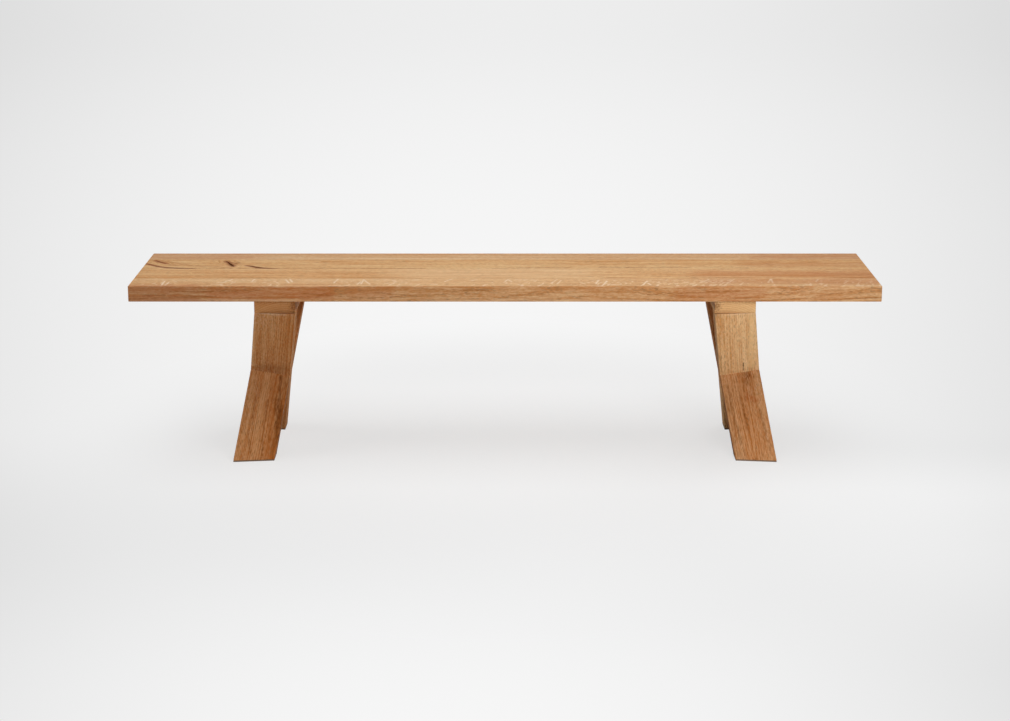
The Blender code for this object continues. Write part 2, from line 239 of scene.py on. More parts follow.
RAY_SILVER_AND_PAINTED_LIGHT = srgb(0xE6D2B6)  # the tissue of the rays; also painted light along the legs' top edges under the rails
HEART_BROWN_AND_PAINTED_SHADE = srgb(0x6A3A16)  # round a knot; also painted shade on inner faces, along the rails' edges under the seat and by a crossing of the legs
CHECK_BROWN = srgb(0x7A3719)  # along a check
STREAK_BROWN = srgb(0x8E5626)
RED_BROWN = srgb(0xA2592E)
PALE_STREAK = srgb(0xDDB384)
PALE_BAND = srgb(0xEAD3AE)
GOLDEN_STREAK = srgb(0xE8C085)
FOX_RED = srgb(0xAA501C)
RUSSET = srgb(0xA2521C)
CREVICE = srgb(0x3A2412)

RING_WANDER = 0.014  # how far the rings stray from a straight trunk's
TAPER = 0.005  # how much a ring narrows in each metre along the trunk
RAY_TILT = 0.35  # how far a ray shifts along the trunk in each metre outwards
SWERVE = 0.005  # how far the grain gives way beside a check
SWERVE_REACH = 0.030  # how far from a check it does
CHECK_EDGE = 0.011  # the brown wood along a check
CHECK_DOWN_SHARE = 0.3  # how much of the way down counts towards the distance from a check
THIN_MARK = 0.020  # a mark with a smaller radius is broken up by the finest grain

# Streaks along the grain: cells per metre along it and across it, and strength. The finest is drawn as
# coarse as the render can show
STREAKS = ((0.9, 16.0, 0.9), (2.2, 75.0, 1.0), (8.0, 230.0, 1.5), (85.0, 340.0, 1.5))


def blend(colour, other, share):
    """A colour that is this share of the way to another."""
    return (*(a + share * (b - a) for a, b in zip(colour[:3], other[:3])), 1.0)


def deepened(colour):
    """The same oak where it took up more oil: darker and redder."""
    return (*(c * kept for c, kept in zip(colour[:3], (0.73, 0.52, 0.37))), 1.0)


def oiled_oak(
    name, colour, trunk, reach, growth=1.0, fleck=0.3, end_grain=0.5, gloss=0.15, marks=(), checks=()
):
    """Oak, planed, sanded and oiled. It is ring-porous, so dark dashes of spring pores mark each year, and
    its broad rays show as pale flecks on quartered faces and as short dark dashes on flat-sawn ones.

    All of it is one solid pattern round the pith, so that it runs on over every edge. Trunk puts the pith and
    the grain's direction in place, and reach is how far from the pith the piece was sawn. Growth is the
    years' width against the usual one, fleck is how plainly the rays show, and gloss is the oil's shine.
    Each mark has a colour, a strength, a radius and lines of points on the bench.
    """
    timber = settings().timber
    material, new, shader = new_material(name)
    noise = partial(grain_noise, new)
    source = new("TexCoord")
    position = source.outputs["Object"]
    turn = trunk.to_euler()
    place = new("Mapping TEXTURE", (position, trunk.translation, turn))
    normal = new("Mapping TEXTURE", {"Vector": source.outputs["Normal"], "Rotation": turn})

    # The trunk isn't straight: its rings wander along the grain
    wander = noise(place, (1.7, 3.0, 3.0)).outputs["Color"]
    bent = new("VectorMath MULTIPLY_ADD", (wander, (0.0, RING_WANDER, RING_WANDER), place))
    if checks:
        open_edge = nearest_check(new, position, checks)
        swerve = new("MapRange SMOOTHSTEP", (open_edge, SWERVE_REACH, 0.0, 0.0, SWERVE))
        bent = new("VectorMath ADD", (bent, new("CombineXYZ", (0.0, 0.0, swerve))))
    along = new("SeparateXYZ", (bent,))
    across = new("VectorMath MULTIPLY", (bent, (0.0, 1.0, 1.0)))
    radius = new("VectorMath LENGTH", (across,))
    angle = new("Math ARCTAN2", (along.outputs["Z"], along.outputs["Y"]))

    # Year rings, each from dark spring wood to closer summer wood
    taper = new("Math MULTIPLY_ADD", (along.outputs["X"], TAPER, radius))
    years = new("Math DIVIDE", (taper, timber.ring_width * growth))
    spring = new("MapRange SMOOTHSTEP", (new("Math FRACT", (years,)), 0.55, 0.15))
    year = new("TexWhiteNoise 1D", (new("Math FLOOR", (years,)),))

    # Spring pores, drawn wider than real ones so that they show. They are faint on end grain
    pores = noise(bent, (1 / timber.pore_length, 1 / timber.pore_width, 1 / timber.pore_width), 1.0)
    pores = new("MapRange", (pores, 0.50, 0.64))
    butt = new("Math ABSOLUTE", (new("SeparateXYZ", (normal,)).outputs["X"],))
    side_grain = new("Math MULTIPLY_ADD", (butt, -0.7, 1.0))
    for share in (new("Math MULTIPLY_ADD", (spring, 0.7, 0.3)), side_grain):
        pores = new("Math MULTIPLY", (pores, share))

    # Rays, thin round the trunk, tall along it and long outwards. They too are drawn thicker than real ones
    tilt = new("Math MULTIPLY_ADD", (radius, RAY_TILT, along.outputs["X"]))
    cells = (
        (tilt, 1 / timber.ray_height), (angle, reach / timber.ray_thickness), (radius, 1 / timber.ray_length)
    )
    rays = new("CombineXYZ", [new("Math MULTIPLY", cell) for cell in cells])
    rays = new("TexNoise", (rays, 1.0, 1.0, 0.4))
    rays = new("Math MULTIPLY_ADD", (noise(bent, (11.0, 9.0, 9.0), 0.0), 0.35, rays))
    rays = new("MapRange SMOOTHSTEP", (rays, 0.77, 0.84, 0.0, fleck))
    rays = new("Math MULTIPLY", (rays, new("Math SUBTRACT", (1.0, butt))))

    # A ray is pale where the face runs along it, and dark where it comes straight out of the face
    facing = new("VectorMath DOT_PRODUCT", (new("VectorMath NORMALIZE", (across,)), normal))
    flat_sawn = new("Math MULTIPLY", (facing, facing))

    tone = 0.0
    for lengthwise, sideways, strength in STREAKS:
        streak = noise(bent, (lengthwise, sideways, sideways), roughness=0.6)
        streak = new("Math SUBTRACT", (streak, 0.5))
        tone = new("Math MULTIPLY_ADD", (streak, strength, tone))
    tone = new("Math MULTIPLY_ADD", (tone, side_grain, 0.72))
    for value, strength in ((year, 0.25), (spring, -0.28), (flat_sawn, -0.40)):
        tone = new("Math MULTIPLY_ADD", (value, strength, tone))

    # Coats of colour on the deepest brown, each with its share
    ray_colour = new("Mix RGBA", (flat_sawn, blend(colour, RAY_SILVER_AND_PAINTED_LIGHT, 0.75), deepened(colour)))
    coats = [
        (new("Clamp", (tone,)), blend(colour, RAY_SILVER_AND_PAINTED_LIGHT, 0.16)),
        (new("Math MULTIPLY", (pores, 0.65)), blend((0, 0, 0), colour, 0.36)),
        (rays, ray_colour),
    ]
    ragged = new("Math SUBTRACT", (noise(bent, (30.0, 260.0, 260.0)), 0.5))
    broken = new("MapRange", (streak, -0.12, 0.12, 1.2, 0.3))
    for mark_colour, strength, mark_radius, *lines in marks:
        away = nearest_line(new, position, lines, mark_radius)
        away = new("Math MULTIPLY_ADD", (ragged, 1.6, away))
        share = new("MapRange SMOOTHSTEP", (away, 1.0, 0.0, 0.0, strength))
        if mark_radius < THIN_MARK:
            share = new("Math MULTIPLY", (share, broken), use_clamp=True)
        coats.append((share, mark_colour))
    if checks:
        edge = new("Math MULTIPLY_ADD", (ragged, 0.008, open_edge))
        coats.append((new("MapRange SMOOTHSTEP", (edge, CHECK_EDGE, 0.0, 0.0, 0.75)), CHECK_BROWN))
        inside = new("MapRange", (open_edge, 0.0008, 0.0, 0.0, 0.9))
        coats.append((inside, (*settings().seat.check, 1.0)))

    # End grain drinks the oil
    coats.append((new("MapRange", (butt, 0.5, 1.0, 0.0, end_grain)), deepened(deepened(colour))))
    wood = deepened(colour)
    for share, over in coats:
        wood = new("Mix RGBA", (share, wood, over))

    roughness = new("Math MULTIPLY_ADD", (pores, 0.12, 0.72))
    roughness = new("Math MULTIPLY_ADD", (rays, -0.10, roughness))
    bump = {"Height": new("Math MULTIPLY", (pores, -1.0)), "Strength": 0.4, "Distance": 0.0004}
    set_shader(
        shader, Base_Color=wood, Roughness=roughness, Normal=new("Bump", bump), IOR=1.45,
        Specular_IOR_Level=gloss,
    )
    return material


def nearest_line(new, position, lines, unit=1.0, widths=None):
    """How far it is to the nearest of these lines of points, in this unit, less half of the width there."""
    nearest = None
    scaled = new("VectorMath MULTIPLY", (position, (1 / unit,) * 3))
    for number, (start, end) in enumerate(step for points in lines for step in zip(points, points[1:])):
        start = Vector(start) / unit
        run = Vector(end) / unit - start
        local = new("VectorMath SUBTRACT", (scaled, start))
        share = new("Clamp", (new("VectorMath DOT_PRODUCT", (local, run / run.length_squared)),))
        away = new("VectorMath DISTANCE", (local, new("VectorMath SCALE", (run, share))))
        if widths:
            first, last = widths[number:number + 2]
            away = new("Math MULTIPLY_ADD", (share, (first - last) / 2, away))
            away = new("Math SUBTRACT", (away, first / 2))
        nearest = new("Math MINIMUM", (nearest, away)) if nearest else away
    return nearest


def nearest_check(new, position, checks):
    """How far it is to the edge of the nearest check: below 0 inside it. It counts down a board's end too."""
    flat = new("VectorMath MULTIPLY", (position, (1.0, 1.0, CHECK_DOWN_SHARE)))
    height = CHECK_DOWN_SHARE * seat_box()[1].z
    nearest = None
    for depth, points in checks:
        line = [(x, y, height) for x, y, width in points]
        away = nearest_line(new, flat, [line], widths=[width for x, y, width in points])
        nearest = new("Math MINIMUM", (nearest, away)) if nearest else away
    return nearest


# Modelling

SHARP_ANGLE = math.radians(40)  # edges over this stay sharp in the shading


def ease(bm, edges, width):
    """Rounds these edges over."""
    bmesh.ops.bevel(
        bm, geom=edges, offset=width, offset_type="OFFSET", segments=3, profile=0.5, affect="EDGES",
        material=-1,
    )


def block(low, high):
    """A plain block between two corners."""
    bm = bmesh.new()
    place = Matrix.Translation((low + high) / 2) @ Matrix.Diagonal((*(high - low), 1))
    bmesh.ops.create_cube(bm, size=1, matrix=place)
    return bm


def temporary(name, bm):
    """The mesh as a bare object, and the bmesh freed."""
    mesh = bpy.data.meshes.new(name)
    bm.to_mesh(mesh)
    bm.free()
    obj = bpy.data.objects.new(name, mesh)
    bpy.context.scene.collection.objects.link(obj)
    return obj


def cut_away(bm, cutters):
    """The shape with each cutter taken out of it, as a new bmesh."""
    piece = temporary("blank", bm)
    tools = [temporary("cutter", cutter) for cutter in cutters]
    for tool in tools:
        modifier = piece.modifiers.new(tool.name, "BOOLEAN")
        modifier.operation = "DIFFERENCE"
        modifier.solver = "EXACT"
        modifier.object = tool
    shaped = piece.evaluated_get(bpy.context.evaluated_depsgraph_get())
    result = bmesh.new()
    result.from_mesh(shaped.to_mesh())
    shaped.to_mesh_clear()
    for obj in [piece, *tools]:
        bpy.data.meshes.remove(obj.data)
    return result


def finish_piece(name, bm, material, node):
    """The finished piece, in the place of its node of the frame."""
    piece = temporary(name, bm)
    piece.data.materials.append(material)
    piece.data.shade_smooth()
    piece.data.set_sharp_from_angle(angle=SHARP_ANGLE)
    weighted = piece.modifiers.new("even_faces", "WEIGHTED_NORMAL")
    weighted.keep_sharp = True
    check_place(piece, node)
    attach(piece, "root")
    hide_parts(node)


def check_place(piece, node):
    """Stops if the piece doesn't fill its node's box."""
    low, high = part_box(node)
    for axis in range(3):
        values = [vert.co[axis] for vert in piece.data.vertices]
        if max(abs(min(values) - low[axis]), abs(max(values) - high[axis])) > 4 * FIT_GAP:
            raise RuntimeError(f"{piece.name} doesn't fit {node}")


def middle(node):
    low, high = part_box(node)
    return (low + high) / 2


def thickness(node):
    low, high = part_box(node)
    return high.x - low.x


def upright_hole(centre, bottom, top, diameter, travel=0.0):
    """A round cutter, stretched along Y by its travel."""
    bm = bmesh.new()
    bmesh.ops.create_circle(
        bm, cap_ends=True, radius=diameter / 2, segments=ROUND_SIDES,
        matrix=Matrix.Translation((centre.x, centre.y, bottom)),
    )
    for vert in bm.verts:
        vert.co.y += math.copysign(travel / 2, vert.co.y - centre.y)
    extruded = bmesh.ops.extrude_face_region(bm, geom=bm.faces[:])["geom"]
    raised = [item for item in extruded if isinstance(item, bmesh.types.BMVert)]
    bmesh.ops.translate(bm, verts=raised, vec=(0, 0, top - bottom))
    bmesh.ops.recalc_face_normals(bm, faces=bm.faces)
    return bm


# Seat

PITH_STEP = 0.7  # how far along the trunk each board's grain is from the next one's
INSERT_END = 0.002  # room past the bolt's end in the hole of its insert

# The front board's larger ray flecks, as points on the seat's top
BRIGHT_FLECKS = (
    ((-0.821, -0.197), (-0.820, -0.140)), ((-0.812, -0.192), (-0.808, -0.152)),
    ((-0.704, -0.175), (-0.680, -0.180)), ((-0.679, -0.163), (-0.660, -0.123)),
    ((-0.611, -0.152), (-0.605, -0.117)), ((-0.530, -0.123), (-0.519, -0.163)),
    ((-0.521, -0.117), (-0.512, -0.152)), ((-0.411, -0.163), (-0.404, -0.117)),
    ((-0.354, -0.180), (-0.347, -0.146)), ((-0.345, -0.175), (-0.341, -0.123)),
    ((-0.341, -0.128), (-0.323, -0.180)), ((-0.180, -0.175), (-0.163, -0.180)),
    ((0.218, -0.169), (0.227, -0.128)), ((0.234, -0.186), (0.246, -0.140)),
    ((0.254, -0.180), (0.278, -0.180)), ((0.330, -0.186), (0.342, -0.140)),
    ((0.343, -0.163), (0.349, -0.186)), ((0.443, -0.180), (0.465, -0.175)),
    ((0.476, -0.152), (0.493, -0.123)), ((0.532, -0.169), (0.554, -0.123)),
    ((0.632, -0.157), (0.644, -0.117), (0.643, -0.163)), ((0.749, -0.146), (0.757, -0.123)),
    ((0.813, -0.169), (0.827, -0.140)),
)
FAINT_FLECKS = (
    ((-0.481, -0.128), (-0.469, -0.123)), ((-0.224, -0.134), (-0.208, -0.128)),
    ((-0.145, -0.146), (-0.128, -0.117)), ((-0.084, -0.140), (-0.068, -0.123)),
    ((-0.002, -0.157), (0.007, -0.123), (0.017, -0.152)), ((0.110, -0.169), (0.126, -0.123)),
    ((0.125, -0.175), (0.135, -0.134)), ((0.180, -0.152), (0.192, -0.175)),
    ((0.416, -0.128), (0.430, -0.134)), ((0.710, -0.186), (0.723, -0.180)),
    ((0.815, -0.186), (0.830, -0.186)),
)

# Each board's streaks, darker and paler patches, and large flecks: the face, then colour, strength, radius
# and lines of points.
# A point is x and y on the top, or x and z on the front and the back
SEAT_MARKS = {
    "seat_board_rear": (
        ("top", RED_BROWN, 0.33, 0.060, ((-0.90, 0.16), (-0.66, 0.16))),
        ("top", RED_BROWN, 0.35, 0.060, ((0.93, 0.16), (0.66, 0.16))),
        ("top", STREAK_BROWN, 0.25, 0.010, ((-0.90, 0.130), (-0.70, 0.128))),
        ("back", RED_BROWN, 0.38, 0.036, ((-0.92, 0.424), (0.92, 0.424))),
    ),
    "seat_board_mid_rear": (
        ("top", STREAK_BROWN, 0.40, 0.014, ((-0.868, 0.105), (-0.78, 0.045), (-0.69, 0.02)),
         ((-0.880, 0.106), (-0.850, 0.072), (-0.818, 0.042))),
        ("top", STREAK_BROWN, 0.75, 0.007, ((-0.78, 0.008), (-0.50, 0.008), (-0.20, 0.010)),
         ((0.30, 0.023), (0.46, 0.024)), ((-0.03, 0.012), (0.16, 0.022))),
        ("top", HEART_BROWN_AND_PAINTED_SHADE, 0.60, 0.007, ((-0.672, 0.092), (-0.664, 0.072)),
         ((-0.690, 0.087), (-0.675, 0.076), (-0.671, 0.060)), ((0.575, 0.016), (0.600, 0.014)),
         ((0.655, 0.066), (0.668, 0.062)), ((0.236, 0.026), (0.31, 0.024))),
        ("top", RED_BROWN, 0.30, 0.060, ((0.93, 0.060), (0.62, 0.060))),
    ),
    "seat_board_mid_front": (
        ("top", STREAK_BROWN, 0.25, 0.014, ((-0.46, -0.040), (-0.28, -0.045))),
        ("top", PALE_BAND, 0.22, 0.200, ((-0.16, -0.050), (0.13, -0.050))),
        ("top", RED_BROWN, 0.40, 0.070, ((0.93, -0.060), (0.50, -0.060))),
        ("top", RED_BROWN, 0.22, 0.070, ((0.93, -0.060), (0.78, -0.060))),
        ("top", STREAK_BROWN, 0.35, 0.010, ((0.92, -0.066), (0.80, -0.060)), ((0.92, -0.1), (0.79, -0.098))),
    ),
    "seat_board_front": (
        ("top", RAY_SILVER_AND_PAINTED_LIGHT, 0.82, 0.0038, *BRIGHT_FLECKS),
        ("top", RAY_SILVER_AND_PAINTED_LIGHT, 0.66, 0.0036, *FAINT_FLECKS),
        ("top", RED_BROWN, 0.30, 0.050, ((0.93, -0.150), (0.50, -0.150))),
        ("top", RED_BROWN, 0.18, 0.060, ((0.93, -0.150), (0.78, -0.150))),
        ("front", RED_BROWN, 0.58, 0.030, ((-0.92, 0.436), (-0.74, 0.436)), ((-0.92, 0.412), (-0.74, 0.412))),
        ("front", FOX_RED, 0.47, 0.030, ((-0.70, 0.424), (-0.42, 0.424))),
        ("front", FOX_RED, 0.22, 0.030, ((-0.37, 0.424), (-0.28, 0.424))),
        ("front", RUSSET, 0.40, 0.030, ((0.42, 0.424), (0.605, 0.424))),
        ("front", RUSSET, 0.12, 0.030, ((0.64, 0.424), (0.80, 0.424))),
        ("front", STREAK_BROWN, 0.60, 0.0028, ((-0.90, 0.4116), (-0.824, 0.4140), (-0.69, 0.4180)),
         ((-0.80, 0.4300), (-0.64, 0.4315)), ((-0.48, 0.4250), (-0.37, 0.4167), (-0.31, 0.4125)),
         ((-0.31, 0.4275), (-0.20, 0.4190)), ((-0.215, 0.4380), (-0.13, 0.4340), (-0.04, 0.4325)),
         ((0.34, 0.4220), (0.46, 0.4285), (0.56, 0.4315)), ((0.80, 0.4100), (0.90, 0.4170))),
        ("front", RAY_SILVER_AND_PAINTED_LIGHT, 0.16, 0.0048, ((-0.90, 0.4070), (-0.70, 0.4095), (-0.50, 0.4070)),
         ((-0.20, 0.4075), (0.10, 0.4090), (0.35, 0.4080))),
    ),
}

# The drying checks and the open knot in the second board: the depth, then x, y and the width at each point
CHECKS = (
    (0.003, ((-0.880, 0.106, 0.0005), (-0.866, 0.089, 0.0013), (-0.850, 0.071, 0.0005))),
    (0.005, ((-0.904, 0.072, 0.0008), (-0.885, 0.056, 0.0010), (-0.862, 0.032, 0.0014),
             (-0.837, 0.018, 0.0024), (-0.803, 0.010, 0.0036), (-0.770, 0.007, 0.0006))),
    (0.008, ((-0.701, 0.097, 0.0015), (-0.694, 0.083, 0.0035), (-0.686, 0.062, 0.0060),
             (-0.680, 0.046, 0.0065), (-0.676, 0.034, 0.0010))),
    (0.006, ((-0.643, 0.043, 0.0010), (-0.633, 0.038, 0.0034), (-0.619, 0.025, 0.0046),
             (-0.604, 0.015, 0.0048), (-0.588, 0.010, 0.0030), (-0.565, 0.007, 0.0006))),
)
CHECK_STEPS = 40


class SeatBoards(Operator):
    """Models the four edge-glued seat boards, with the checks and the knot in the second"""

    bl_idname = "bench.seat_boards"
    bl_label = "Seat boards"

    def execute(self, context):
        seat = context.scene.bench.seat
        sawn = {
            # Each board's colour, where the pith was from its middle, to the back and up, and its flecks
            "seat_board_rear": (seat.rear, 0.050, -0.085, 0.3),
            "seat_board_mid_rear": (seat.mid_rear, 0.035, -0.080, 0.3),
            "seat_board_mid_front": (seat.mid_front, -0.045, -0.090, 0.3),
            "seat_board_front": (seat.front, 0.062, 0.018, 0.50),
        }
        for number, (node, (colour, back, up, fleck)) in enumerate(sawn.items()):
            pith = Matrix.Translation(middle(node) + Vector((PITH_STEP * number, back, up)))
            checks = CHECKS if node == "seat_board_mid_rear" else ()
            marks = [
                (mark_colour, strength, radius, *(on_seat(face, line) for line in lines))
                for face, mark_colour, strength, radius, *lines in SEAT_MARKS[node]
            ]
            material = oiled_oak(
                f"{node}_oiled_oak", colour, pith, math.hypot(back, up), fleck=fleck, marks=marks,
                checks=checks,
            )
            cutters = insert_holes(node) + [check_cutter(*check) for check in checks]
            board = cut_away(board_blank(node, seat.arris), cutters)
            finish_piece(f"{node}_oiled", board, material, node)
        return {"FINISHED"}


@cache
def seat_box():
    """The lowest and highest corner of the whole seat."""
    boxes = [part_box(node) for node in SEAT_MARKS]
    low = Vector(min(box[0][axis] for box in boxes) for axis in range(3))
    high = Vector(max(box[1][axis] for box in boxes) for axis in range(3))
    return low, high


def on_seat(face, points):
    """A line on the seat's top, front or back."""
    low, high = seat_box()
    if face == "top":
        return [(x, y, high.z) for x, y in points]
    return [(x, low.y if face == "front" else high.y, z) for x, z in points]


def board_blank(node, arris):
    """A planed board. Its edges are eased where they are the seat's outer edges, not at the glue lines."""
    bm = block(*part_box(node))
    edges = []
    for edge in bm.edges:
        centre = (edge.verts[0].co + edge.verts[1].co) / 2
        faces = sum(
            abs(centre[axis] - corner[axis]) < FIT_GAP / 4 for axis in range(3) for corner in seat_box()
        )
        if faces > 1:
            edges.append(edge)
    ease(bm, edges, arris)
    return bm


def insert_holes(node):
    """The blind holes that open this board's underside for the threaded inserts."""
    low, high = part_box(node)
    holes = []
    for side in SIDES:
        for number in BOLTS:
            bolt_node, insert = f"{side}_bolt_{number}", f"{side}_insert_{number}"
            centre = middle(bolt_node)
            diameter = thickness(insert) + 2 * FIT_GAP
            if low.y - diameter < centre.y < high.y + diameter:
                top = max(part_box(insert)[1].z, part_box(bolt_node)[1].z) + INSERT_END
                holes.append(upright_hole(centre, low.z - CUT_OVERRUN, top, diameter))
    return holes


def check_cutter(depth, points):
    """A ragged wedge along a check's line, from over the top down to its depth."""
    top = seat_box()[1].z
    widest = max(width for x, y, width in points)
    bm = bmesh.new()
    bmesh.ops.create_cube(bm, size=1)
    long_edges = [e for e in bm.edges if abs(e.verts[0].co.x - e.verts[1].co.x) > 0.5]
    bmesh.ops.subdivide_edges(bm, edges=long_edges, cuts=CHECK_STEPS - 1, use_grid_fill=True)
    spans = len(points) - 1
    for vert in bm.verts:
        share = (vert.co.x + 0.5) * spans
        span = min(int(share + 1e-6), spans - 1)
        (x0, y0, width0), (x1, y1, width1) = points[span:span + 2]
        run = Vector((x1 - x0, y1 - y0))
        width = width0 + (share - span) * (width1 - width0)
        side = math.copysign(0.5, vert.co.y)
        ragged = mathutils.noise.noise(Vector((share * 9, 3 * side, x0 * 40)))
        width *= 1 + 0.5 * ragged
        centre = Vector((x0, y0)) + (share - span) * run
        if vert.co.z > 0:
            spread, height = 1.6, top + width
        else:
            spread, height = 0.4, top - depth * (0.4 + 0.6 * width / widest)
        vert.co.xy = centre + run.normalized().orthogonal() * side * width * spread
        vert.co.z = height
    bmesh.ops.recalc_face_normals(bm, faces=bm.faces)
    return bm


# Trestles

DOWEL_END = 0.001  # room past a dowel's end in its hole
COUNTERBORE_ROOM = 0.002  # how much wider than the washer a counterbore is
BOLT_SLOT = 0.009  # the width of the slots that the bolts pass through
BOLT_TRAVEL = 0.006  # how much longer than wide the slots are
RAIL_PITH = (0.020, 0.4, 0.27)  # a point of the pith that the rails were sawn from, in the trestle's frame
RAIL_REACH = 0.10
PAINTED_LIGHT_INSET = 0.004  # from the rail's end to the painted light edge of the leg under it

# Each leg's pith, from its middle, down the leg, across and through the trestle. Then the painted shade on
# its inner
# face: strength, radius, top and bottom. Then its streaks and other marks: colour, strength, radius and lines
# of points
LEG_LOOKS = {
    "left_rear_foot_leg": (
        (-0.45, 0.095, 0.085),
        ((0.15, 0.032, 0.400, 0.0),),
        ((PALE_STREAK, 0.50, 0.008, ((-0.6035, -0.168, 0.366), (-0.6250, -0.043, 0.210))),
         # Painted shade where the leg darkens towards the crossing of the legs
         (HEART_BROWN_AND_PAINTED_SHADE, 0.30, 0.026, ((-0.600, -0.040, 0.205), (-0.548, -0.045, 0.200)))),
    ),
    "left_front_foot_leg": (
        (1.55, 0.100, 0.050),
        ((0.55, 0.032, 0.400, 0.200), (0.90, 0.034, 0.180, 0.0)),
        ((HEART_BROWN_AND_PAINTED_SHADE, 0.70, 0.014, ((-0.5642, -0.0771, 0.1237), (-0.5540, -0.130, 0.053))),
         (HEART_BROWN_AND_PAINTED_SHADE, 0.60, 0.006, ((-0.5572, -0.0339, 0.179), (-0.5595, -0.0734, 0.1279))),
         (HEART_BROWN_AND_PAINTED_SHADE, 0.45, 0.0040, ((-0.6163, -0.0712, 0.1401), (-0.6225, -0.1204, 0.0768)),
          ((-0.5864, -0.0762, 0.1286), (-0.5933, -0.1174, 0.076), (-0.5947, -0.1656, 0.0133)),
          ((-0.6316, -0.1294, 0.0666), (-0.6241, -0.1638, 0.0205)))),
    ),
    "right_rear_foot_leg": (
        (1.55, 0.095, 0.085),
        ((0.55, 0.032, 0.400, 0.200),),
        ((CREVICE, 0.80, 0.0030, ((0.5897, -0.0534, 0.2173), (0.5921, -0.036, 0.195))),
         (GOLDEN_STREAK, 0.40, 0.014,
          ((0.594, -0.168, 0.366), (0.603, -0.0949, 0.2732), (0.611, -0.043, 0.207)))),
    ),
    "right_front_foot_leg": (
        (2.35, 0.060, 0.010),
        ((0.35, 0.032, 0.400, 0.200), (0.90, 0.037, 0.105, 0.0)),
        ((HEART_BROWN_AND_PAINTED_SHADE, 0.55, 0.015, ((0.6016, -0.0353, 0.1845), (0.6004, -0.0482, 0.1670))),
         (HEART_BROWN_AND_PAINTED_SHADE, 0.35, 0.010, ((0.5842, -0.0367, 0.1798), (0.6211, -0.0406, 0.1807))),
         (RED_BROWN, 0.60, 0.014, ((0.600, -0.072, 0.136), (0.622, -0.0795, 0.1295))),
         (HEART_BROWN_AND_PAINTED_SHADE, 0.42, 0.0050, ((0.5513, -0.048, 0.1596), (0.5633, -0.090, 0.1068)),
          ((0.5821, -0.0676, 0.1391), (0.5976, -0.1259, 0.0656)),
          ((0.6292, -0.0969, 0.1086), (0.6485, -0.1631, 0.0254)),
          ((0.5671, -0.1066, 0.0858), (0.5875, -0.1648, 0.0131)))),
    ),
}


class Trestle:
    """One trestle's lines, in its own frame: x runs through it, and it leans out to its -x side."""

    def __init__(self, side):
        sizes = settings().trestle
        low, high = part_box(f"{side}_top_rail")
        aside = Vector((*((low + high) / 2).xy, 0))
        self.side = side
        self.facing = -1 if aside.x < 0 else 1
        turn = 0 if aside.x < 0 else math.pi
        self.place = Matrix.Translation(aside) @ Matrix.Rotation(turn, 4, "Z")
        self.rail_low, self.rail_high = low - aside, high - aside
        self.leg_top = low.z - FIT_GAP
        self.foot_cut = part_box(f"{side}_front_glide")[1].z + FIT_GAP
        self.splay = sizes.splay
        self.leg_width = sizes.leg_width
        self.leg_depth = (high.x - low.x) * math.cos(self.splay)
        run = high.y - low.y + sizes.foot_reach
        slope = self.leg_top / math.cos(self.splay)
        self.lean = math.acos(self.leg_width / math.hypot(run, slope)) - math.atan2(slope, run)
        self.down = Vector((-math.sin(self.splay), 0, -math.cos(self.splay)))
        self.through = Vector((math.cos(self.splay), 0, -math.sin(self.splay)))

    def leg_point(self, way, height, depth):
        """The point midway across a leg's width, at this height and this depth through the trestle. The leg
        runs down to the back of the trestle's own frame if way is 1, and to its front if -1.
        """
        slope = (self.leg_top - height - depth * math.sin(self.splay)) / math.cos(self.splay)
        face = self.leg_width / math.cos(self.lean)
        y = way * (self.rail_low.y + face / 2 + slope * math.tan(self.lean))
        outer_top = Vector((self.rail_low.x, y, self.leg_top))
        return outer_top + slope * self.down + depth * self.through

    def leg_turn(self, way):
        """The turn whose x runs down the leg and whose z runs through the trestle."""
        along = math.cos(self.lean) * self.down + way * math.sin(self.lean) * Vector((0, 1, 0))
        return Matrix((along, self.through.cross(along), self.through)).transposed().to_4x4()

    def leg_bar(self, way, near, far, width):
        """A straight bar on the leg's line between two depths, overlong at both ends."""
        length = self.leg_top / (math.cos(self.splay) * math.cos(self.lean)) + self.leg_depth + self.leg_width
        centre = self.leg_point(way, self.leg_top / 2, (near + far) / 2)
        size = Matrix.Diagonal((length, width, far - near, 1))
        bm = bmesh.new()
        bmesh.ops.create_cube(bm, size=1, matrix=Matrix.Translation(centre) @ self.leg_turn(way) @ size)
        return bm

    def dowel_holes(self, nodes, bottom, top):
        """Cutters for the dowels, at their middles in the frame."""
        back = self.place.inverted()
        return [
            upright_hole(back @ middle(node), bottom, top, thickness(node) + 2 * FIT_GAP) for node in nodes
        ]


def saw_level(bm, height, keep):
    """Saws the bar off level and closes the cut. Keep is 1 for the part above, -1 below."""
    cut_edges = bmesh.ops.bisect_plane(
        bm, geom=[*bm.verts, *bm.edges, *bm.faces], plane_co=(0, 0, height), plane_no=(0, 0, -keep),
        clear_outer=True,
    )["geom_cut"]
    bmesh.ops.edgeloop_fill(bm, edges=[item for item in cut_edges if isinstance(item, bmesh.types.BMEdge)])


